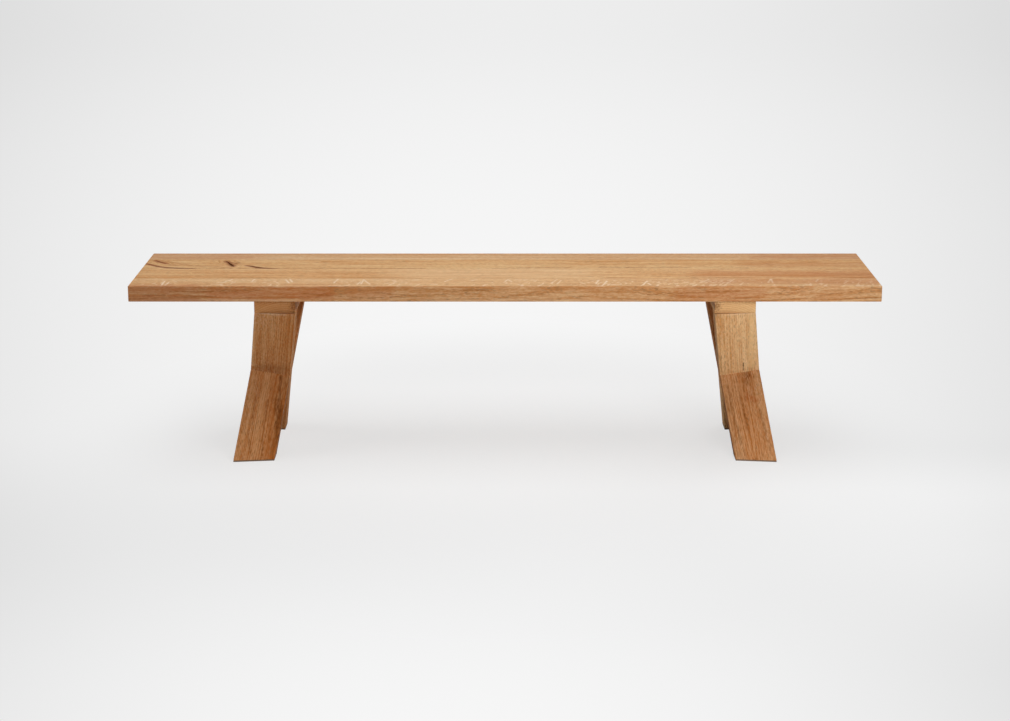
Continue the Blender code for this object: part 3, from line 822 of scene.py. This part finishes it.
class TopRails(Operator):
    """Models the two flat rails, with their slots for the bolts and their holes for the dowels"""

    bl_idname = "bench.top_rails"
    bl_label = "Top rails"

    def execute(self, context):
        colours = context.scene.bench.trestle
        for side in SIDES:
            trestle = Trestle(side)
            node = f"{side}_top_rail"
            bottom = trestle.rail_low.z
            bm = block(trestle.rail_low, trestle.rail_high)
            ease(bm, [e for e in bm.edges if max(v.co.z for v in e.verts) > bottom], colours.rail_arris)
            bm = cut_away(bm, rail_cutters(trestle))
            bmesh.ops.transform(bm, matrix=trestle.place, verts=bm.verts)
            x, y, z = RAIL_PITH
            pith = Matrix.Translation((x, y * trestle.facing, z))
            material = oiled_oak(
                f"{node}_oiled_oak", getattr(colours, f"{side}_rail"),
                trestle.place @ pith @ Matrix.Rotation(math.pi / 2, 4, "Z"), RAIL_REACH, growth=2.0,
                end_grain=0.10, marks=rail_painted_shade(trestle),
            )
            finish_piece(f"{node}_oiled", bm, material, node)
        return {"FINISHED"}


def rail_painted_shade(trestle):
    """Painted shade: a dark edge under the seat at each end, where the seat's shadow falls, and a darker
    inner face.
    """
    low, high = trestle.rail_low, trestle.rail_high
    edges = [[trestle.place @ Vector((x, y, high.z)) for x in (low.x, high.x)] for y in (low.y, high.y)]
    face = [trestle.place @ Vector((high.x, y, (low.z + high.z) / 2)) for y in (low.y, high.y)]
    return (HEART_BROWN_AND_PAINTED_SHADE, 0.70, 0.0110, *edges), (HEART_BROWN_AND_PAINTED_SHADE, 0.75, 0.022, face)


def rail_cutters(trestle):
    """Blind holes for the dowels, and a counterbored slot for each bolt."""
    side = trestle.side
    bottom = trestle.rail_low.z - CUT_OVERRUN
    dowels = [f"{side}_{end}_dowel_{number}" for end in ENDS for number in DOWELS]
    cutters = trestle.dowel_holes(dowels, bottom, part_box(dowels[0])[1].z + DOWEL_END)
    back = trestle.place.inverted()
    for number in BOLTS:
        washer = f"{side}_washer_{number}"
        centre = back @ middle(f"{side}_bolt_{number}")
        for top, width in (
            (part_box(washer)[1].z + FIT_GAP, thickness(washer) + COUNTERBORE_ROOM),
            (trestle.rail_high.z + CUT_OVERRUN, BOLT_SLOT),
        ):
            cutters.append(upright_hole(centre, bottom, top, width, travel=BOLT_TRAVEL))
    return cutters


class Legs(Operator):
    """Models the four legs, each sawn at a compound angle and half-lapped to the leg that it crosses"""

    bl_idname = "bench.legs"
    bl_label = "Legs"

    def execute(self, context):
        arris = context.scene.bench.trestle.leg_arris
        for side in SIDES:
            trestle = Trestle(side)
            for way in (1, -1):
                foot, top = ("rear", "front") if way * trestle.facing < 0 else ("front", "rear")
                node = f"{side}_{foot}_foot_leg"
                bm = trestle.leg_bar(way, 0, trestle.leg_depth, trestle.leg_width)
                saw_level(bm, trestle.leg_top, keep=-1)
                saw_level(bm, trestle.foot_cut, keep=1)
                joint = trestle.leg_top - FIT_GAP / 2
                ease(bm, [e for e in bm.edges if min(v.co.z for v in e.verts) < joint], arris)
                bm = cut_away(bm, leg_cutters(trestle, way, top))
                bmesh.ops.transform(bm, matrix=trestle.place, verts=bm.verts)
                finish_piece(f"{node}_oiled", bm, leg_oak(trestle, way, node), node)
        return {"FINISHED"}


def leg_cutters(trestle, way, top):
    """The half-lap, in the leg's outer half or in its inner half, and the dowels' holes."""
    centre = trestle.leg_depth / 2
    near = -CUT_OVERRUN if way > 0 else centre - FIT_GAP / 2
    far = centre + FIT_GAP / 2 if way > 0 else trestle.leg_depth + CUT_OVERRUN
    lap = trestle.leg_bar(-way, near, far, trestle.leg_width + 2 * FIT_GAP)
    dowels = [f"{trestle.side}_{top}_dowel_{number}" for number in DOWELS]
    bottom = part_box(dowels[0])[0].z - DOWEL_END
    return [lap] + trestle.dowel_holes(dowels, bottom, trestle.leg_top + CUT_OVERRUN)


def leg_oak(trestle, way, node):
    """The leg's oak, with its grain down the leg, painted shade on its inner face and painted light along its
    top edge under the rail.
    """
    (down, across, through), inner_shades, marks = LEG_LOOKS[node]
    # Painted shade on the inner face, where the seat and the other legs shade it
    inner = [
        (HEART_BROWN_AND_PAINTED_SHADE, strength, radius,
         [trestle.place @ trestle.leg_point(way, height, trestle.leg_depth) for height in heights])
        for strength, radius, *heights in inner_shades
    ]
    low, high = trestle.rail_low, trestle.rail_high
    y = way * (low.y - PAINTED_LIGHT_INSET)
    painted_light_edge = [trestle.place @ Vector((x, y, trestle.leg_top)) for x in (low.x, high.x)]
    centre = Matrix.Translation(trestle.leg_point(way, trestle.leg_top / 2, trestle.leg_depth / 2))
    pith = Matrix.Translation((down, across * way, through))
    return oiled_oak(
        f"{node}_oiled_oak", getattr(settings().trestle, node.removesuffix("_leg")),
        trestle.place @ centre @ trestle.leg_turn(way) @ pith, math.hypot(across, through), end_grain=0.1,
        # The pale mark along the leg's top edge is painted light, where the leg's top lies in the shade of
        # the seat and rail
        gloss=0.04, marks=(*marks, *inner, (RAY_SILVER_AND_PAINTED_LIGHT, 0.35, 0.0075, painted_light_edge)),
    )


# Pads and hardware

BOLT_HEAD = 0.008  # the height of a bolt's head
BOLT_SHANK = 0.004  # its shank's radius
BOLT_EDGE = 0.0004  # the chamfer round the head, on the shank's side
BOLT_TIP = 0.0006  # the chamfer at the shank's end


class Pads(Operator):
    """Models the felt pads under the feet"""

    bl_idname = "bench.pads"
    bl_label = "Pads"

    def execute(self, context):
        hardware = context.scene.bench.hardware
        material = pressed_felt(hardware.felt)
        for side in SIDES:
            for end in ENDS:
                node = f"{side}_{end}_glide"
                bm = bmesh.new()
                bm.from_mesh(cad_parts[node].data)
                bmesh.ops.remove_doubles(bm, verts=bm.verts, dist=FIT_GAP / 10)
                bmesh.ops.dissolve_limit(
                    bm, angle_limit=math.radians(1), verts=bm.verts, edges=bm.edges,
                    use_dissolve_boundaries=False,
                )
                ease(bm, bm.edges[:], hardware.pad_rounding)
                finish_piece(f"{node}_felt", bm, material, node)
        return {"FINISHED"}


def uneven(new, colour, share):
    """The colour, a little darker and a little paler from place to place."""
    return new("Mix RGBA", (share, deepened(colour), blend(colour, RAY_SILVER_AND_PAINTED_LIGHT, 0.12)))


def pressed_felt(colour):
    """Wool felt, pressed: matt, with the wool's own uneven brown and a nap of loose fibres. They are drawn
    coarser than real ones so that they show.
    """
    material, new, shader = new_material("pressed_felt")
    fibres = {
        "Vector": new("TexCoord").outputs["Object"], "Scale": 1 / 0.0012, "Detail": 4.0, "Distortion": 1.5
    }
    fibres = new("TexNoise", fibres)
    set_shader(
        shader, Base_Color=uneven(new, colour, fibres), Roughness=0.95, Sheen_Weight=0.3,
        Normal=new("Bump", {"Height": fibres, "Strength": 0.7, "Distance": 0.0006}),
    )
    return material


class Hardware(Operator):
    """Models the cap-head bolts, and finishes the dowels, washers and inserts"""

    bl_idname = "bench.hardware"
    bl_label = "Hardware"

    def execute(self, context):
        hardware = context.scene.bench.hardware
        black = black_oxide_steel(hardware.black_steel)
        zinc = zinc_plated_steel(hardware.zinc)
        for side in SIDES:
            for number in BOLTS:
                node = f"{side}_bolt_{number}"
                finish_piece(f"{node}_cap_head", bolt(node, hardware), black, node)
                for kind in ("washer", "insert"):
                    refinish(f"{side}_{kind}_{number}", zinc)
            for end in ENDS:
                for number in DOWELS:
                    node = f"{side}_{end}_dowel_{number}"
                    refinish(node, planed_beech(f"{node}_beech", hardware.beech, middle(node)))
        return {"FINISHED"}


def refinish(node, material):
    """Puts the material on a solid of the frame."""
    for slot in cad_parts[node].material_slots:
        slot.material = material


def bolt(node, hardware):
    """A cap-head bolt, head down: a knurled head round a hexagon socket, and a plain shank."""
    low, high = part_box(node)
    head = thickness(node) / 2
    head_top = low.z + BOLT_HEAD
    rim = hardware.rim
    # The radius and height of each ring of the profile, and whether it is knurled
    sections = (
        (head - rim, low.z, False),
        (head - 0.3 * rim, low.z + 0.3 * rim, False),
        (head, low.z + rim, True),
        (head, head_top - BOLT_EDGE, True),
        (head - BOLT_EDGE, head_top, False),
        (BOLT_SHANK, head_top, False),
        (BOLT_SHANK, high.z - BOLT_TIP, False),
        (BOLT_SHANK - BOLT_TIP, high.z, False),
    )
    bm = bmesh.new()
    rings = []
    for radius, height, knurled in sections:
        ring = bmesh.ops.create_circle(
            bm, radius=radius, segments=2 * hardware.knurls, matrix=Matrix.Translation((0, 0, height))
        )["verts"]
        for vert in ring[::2]:
            vert.co.xy *= 1 - knurled * hardware.knurl_depth / radius
        rings.append(ring)
    for ring, next_ring in zip(rings, rings[1:]):
        edges = [e for r in (ring, next_ring) for v in r for e in v.link_edges if e.other_vert(v) in r]
        bmesh.ops.bridge_loops(bm, edges=list(set(edges)))
    for ring in (rings[0], rings[-1]):
        bmesh.ops.contextual_create(bm, geom=ring)
    bmesh.ops.recalc_face_normals(bm, faces=bm.faces)
    corner = hardware.socket / math.sqrt(3)
    socket = bmesh.new()
    bmesh.ops.create_cone(
        socket, cap_ends=True, segments=6, radius1=corner, radius2=corner, depth=2 * hardware.socket_depth,
        matrix=Matrix.Translation((0, 0, low.z)),
    )
    bm = cut_away(bm, [socket])
    bmesh.ops.translate(bm, verts=bm.verts, vec=(*middle(node).xy, 0))
    return bm


def black_oxide_steel(colour):
    """Machined steel, blackened in hot salts: a dark satin metal with a thin film of oil."""
    material, new, shader = new_material("black_oxide_steel")
    bloom = {"Vector": new("TexCoord").outputs["Object"], "Scale": 1 / 0.003, "Detail": 3.0}
    bloom = new("TexNoise", bloom)
    set_shader(
        shader, Base_Color=uneven(new, colour, bloom), Metallic=1.0,
        Roughness=new("MapRange", (bloom, 0.0, 1.0, 0.30, 0.50)),
    )
    return material


def zinc_plated_steel(colour):
    """Pressed steel with a bright zinc plate: pale blue-grey, with faint drawing lines, wider than real ones
    so that they show.
    """
    material, new, shader = new_material("zinc_plated_steel")
    lines = grain_noise(new, new("TexCoord").outputs["Object"], (90.0, 2500.0, 900.0))
    set_shader(
        shader, Base_Color=uneven(new, colour, lines), Metallic=1.0,
        Roughness=new("MapRange", (lines, 0.0, 1.0, 0.22, 0.40)),
    )
    return material


def planed_beech(name, colour, centre):
    """Beech, turned and dry: pale and close-grained, with small dark flecks along the peg."""
    material, new, shader = new_material(name)
    place = new("Mapping TEXTURE", (new("TexCoord").outputs["Object"], centre))
    grain = grain_noise(new, place, (700.0, 700.0, 40.0), 3.0)
    flecks = grain_noise(new, place, (1900.0, 1900.0, 420.0), 0.0)
    flecks = new("MapRange", (flecks, 0.62, 0.70, 0.0, 0.5))
    set_shader(
        shader, Base_Color=new("Mix RGBA", (flecks, uneven(new, colour, grain), deepened(deepened(colour)))),
        Roughness=0.6, Normal=new("Bump", {"Height": grain, "Strength": 0.3, "Distance": 0.0002}),
    )
    return material


# Studio

FLOOR_REACH = 40  # from the floor's middle to its edges
BEAM_START = 5.7  # how far in front of the bench the floor's beam of light starts
BEAM_EVEN = 4.0  # how far from its start the beam begins to widen
BEAM_SPREAD = 0.283  # half of the beam's width, for each metre from its start
BEAM_ASIDE = 0.08  # how far the beam's middle is to the left
BAND_FRONT = 0.8  # how far in front of the bench's middle a dimmer band is
SHADE_WIDTH, SHADE_DEPTH = 0.95, 1.1  # how far from the bench's middle the floor's own shading shows


class Studio(Operator):
    """Lays the pale floor, and sets the lamps, the sky and the camera"""

    bl_idname = "bench.studio"
    bl_label = "Studio"

    def execute(self, context):
        studio = context.scene.bench.studio
        lay_floor(studio)
        set_sky(context.scene, studio)
        add_lamp("top_lamp", studio.top_power, (0.0, -0.2, 2.4), (0, 0, 0.4), (3.0, 2.0))
        add_lamp("key_lamp", studio.key_power, (0.85, -2.0, 0.95), (0.55, 0, 0.35), (1.0, 0.8))
        add_lamp("back_lamp", studio.back_power, (2.0, 2.6, 1.5), (0, 0, 0.35), (2.0, 1.4), mirrored=False)
        add_lamp("side_lamp", studio.side_power, (-3.0, -0.4, 1.2), (0, 0, 0.35), (1.4, 1.2))
        add_camera(context.scene, studio)
        context.scene.view_settings.view_transform = "Standard"
        return {"FINISHED"}


def lay_floor(studio):
    bm = bmesh.new()
    bmesh.ops.create_grid(bm, x_segments=1, y_segments=1, size=FLOOR_REACH)
    floor = temporary("studio_floor", bm)
    floor.data.materials.append(floor_finish(studio))


def floor_finish(studio):
    """Matt white vinyl. The camera and reflections see it pale, with part of the bench's shadow on it near
    the bench. From below it is clear.
    """
    material, new, shader = new_material("matt_vinyl_floor")
    set_shader(shader, Base_Color=srgb(0xE8E8E8), Roughness=0.9, Specular_IOR_Level=0.1)
    position = new("TexCoord").outputs["Object"]
    place = new("SeparateXYZ", (position,))
    x, y = place.outputs["X"], place.outputs["Y"]

    # The light spreads in a beam from the front, so the floor dims to the sides, but not far in front
    spread = new("Math MAXIMUM", (new("Math ADD", (y, BEAM_START)), BEAM_EVEN))
    side = new("Math DIVIDE", (new("Math ADD", (x, BEAM_ASIDE)), spread))
    side = new("Math MULTIPLY", (side, 1 / BEAM_SPREAD))
    dim = new("Math MULTIPLY", (side, side), use_clamp=True)
    dim = new("Math MULTIPLY", (dim, new("MapRange SMOOTHSTEP", (y, -5.0, -1.8))))

    # It is brighter to the right in front of the bench
    bright = 1.0
    for limits in ((y, 0.0, -0.5), (y, -1.6, -0.8), (x, 0.35, 1.05, 0.0, 0.52)):
        bright = new("Math MULTIPLY", (bright, new("MapRange SMOOTHSTEP", limits)))
    dim = new("Math SUBTRACT", (dim, bright))

    # It dims far behind the bench, far in front of it, and in a band just in front
    band = new("Math ABSOLUTE", (new("Math ADD", (y, BAND_FRONT)),))
    for limits in ((y, 1.0, 11.0, 0.0, 0.38), (y, -2.0, -6.0), (band, 1.0, 0.0, 0.0, 0.33)):
        dim = new("Math ADD", (dim, new("MapRange SMOOTHSTEP", limits)), use_clamp=True)
    tone = new("Mix RGBA", (dim, (*studio.floor, 1.0), (*studio.distance, 1.0)))

    # Its own shading shows near the bench
    near = new("VectorMath MULTIPLY", (position, (1 / SHADE_WIDTH, 1 / SHADE_DEPTH, 0.0)))
    near = new("VectorMath LENGTH", (near,))
    shading = new("MapRange SMOOTHSTEP", (near, 1.25, 0.55, 0.0, studio.shadow))
    rays = new("LightPath")
    seen = new("Math MULTIPLY", (seen_directly(new, rays), new("Math SUBTRACT", (1.0, shading))))
    mixed = new("MixShader", (seen, shader.outputs["BSDF"], new("Emission", (tone,))))
    below = (new("NewGeometry").outputs["Backfacing"], rays.outputs["Is Camera Ray"])
    clear = new("MixShader", (new("Math MULTIPLY", below), mixed, new("BsdfTransparent")))
    connect(clear, material.node_tree.nodes["Material Output"].inputs["Surface"])
    return material


def seen_directly(new, rays):
    """1 for what the camera sees, also in a mirror or through glass."""
    seen = new("Math MAXIMUM", (rays.outputs["Is Camera Ray"], rays.outputs["Is Glossy Ray"]))
    return new("Math MAXIMUM", (seen, rays.outputs["Is Transmission Ray"]))


def set_sky(scene, studio):
    """The pale backdrop where it is seen, and a plain soft light on everything."""
    world = bpy.data.worlds.new("studio_sky")
    scene.world = world
    world.use_nodes = True
    tree = world.node_tree
    tree.nodes.clear()
    new = partial(add, tree)
    fill = new("Background", ((1, 1, 1, 1), studio.fill))
    backdrop = new("Background", ((*studio.distance, 1.0),))
    mixed = new("MixShader", (seen_directly(new, new("LightPath")), fill, backdrop))
    connect(mixed, tree.nodes.new("ShaderNodeOutputWorld").inputs["Surface"])


def add_lamp(name, power, place, target, size, mirrored=True):
    """A rectangular soft box that faces its target, and shows in glossy faces if it is mirrored."""
    data = bpy.data.lights.new(name, "AREA")
    data.shape = "RECTANGLE"
    data.size, data.size_y = size
    data.energy = power
    lamp = bpy.data.objects.new(name, data)
    lamp.location = place
    lamp.rotation_euler = (Vector(target) - Vector(place)).to_track_quat("-Z", "Y").to_euler()
    lamp.visible_camera = False
    lamp.visible_glossy = mirrored
    bpy.context.scene.collection.objects.link(lamp)


def add_camera(scene, studio):
    data = bpy.data.cameras.new("studio_camera")
    data.lens = studio.lens
    camera = bpy.data.objects.new("studio_camera", data)
    camera.location = (0, -studio.camera_distance, studio.camera_height)
    camera.rotation_euler = (math.pi / 2 - studio.camera_pitch, 0, 0)
    scene.collection.objects.link(camera)
    scene.camera = camera


class BenchPanel(Panel):
    """The bench's pieces and their settings"""

    bl_idname = "VIEW3D_PT_oak_bench"
    bl_label = "Oak Dining Bench"
    bl_space_type = "VIEW_3D"
    bl_region_type = "UI"
    bl_category = "Bench"

    def draw(self, context):
        layout = self.layout
        bench = context.scene.bench
        for operators, group in STEPS:
            column = layout.column(align=True)
            for operator in operators:
                column.operator(operator.bl_idname)
            values = getattr(bench, group)
            for name in values.bl_rna.properties.keys():
                if name not in ("name", "rna_type"):
                    column.prop(values, name)


# Each group of operators, and the settings that they read
STEPS = (
    ((SeatBoards,), "seat"),
    ((TopRails, Legs), "trestle"),
    ((Pads, Hardware), "hardware"),
    ((Studio,), "studio"),
)
OPERATORS = [operator for operators, group in STEPS for operator in operators]
CLASSES = (
    TimberSettings, SeatSettings, TrestleSettings, HardwareSettings, StudioSettings, BenchSettings,
    *OPERATORS, BenchPanel,
)


def register():
    for cls in CLASSES:
        bpy.utils.register_class(cls)
    bpy.types.Scene.bench = PointerProperty(type=BenchSettings)


def unregister():
    del bpy.types.Scene.bench
    for cls in reversed(CLASSES):
        bpy.utils.unregister_class(cls)


def main():
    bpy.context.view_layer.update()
    register()
    for operator in OPERATORS:
        group, name = operator.bl_idname.split(".")
        getattr(getattr(bpy.ops, group), name)()


if __name__ == "__main__":
    main()
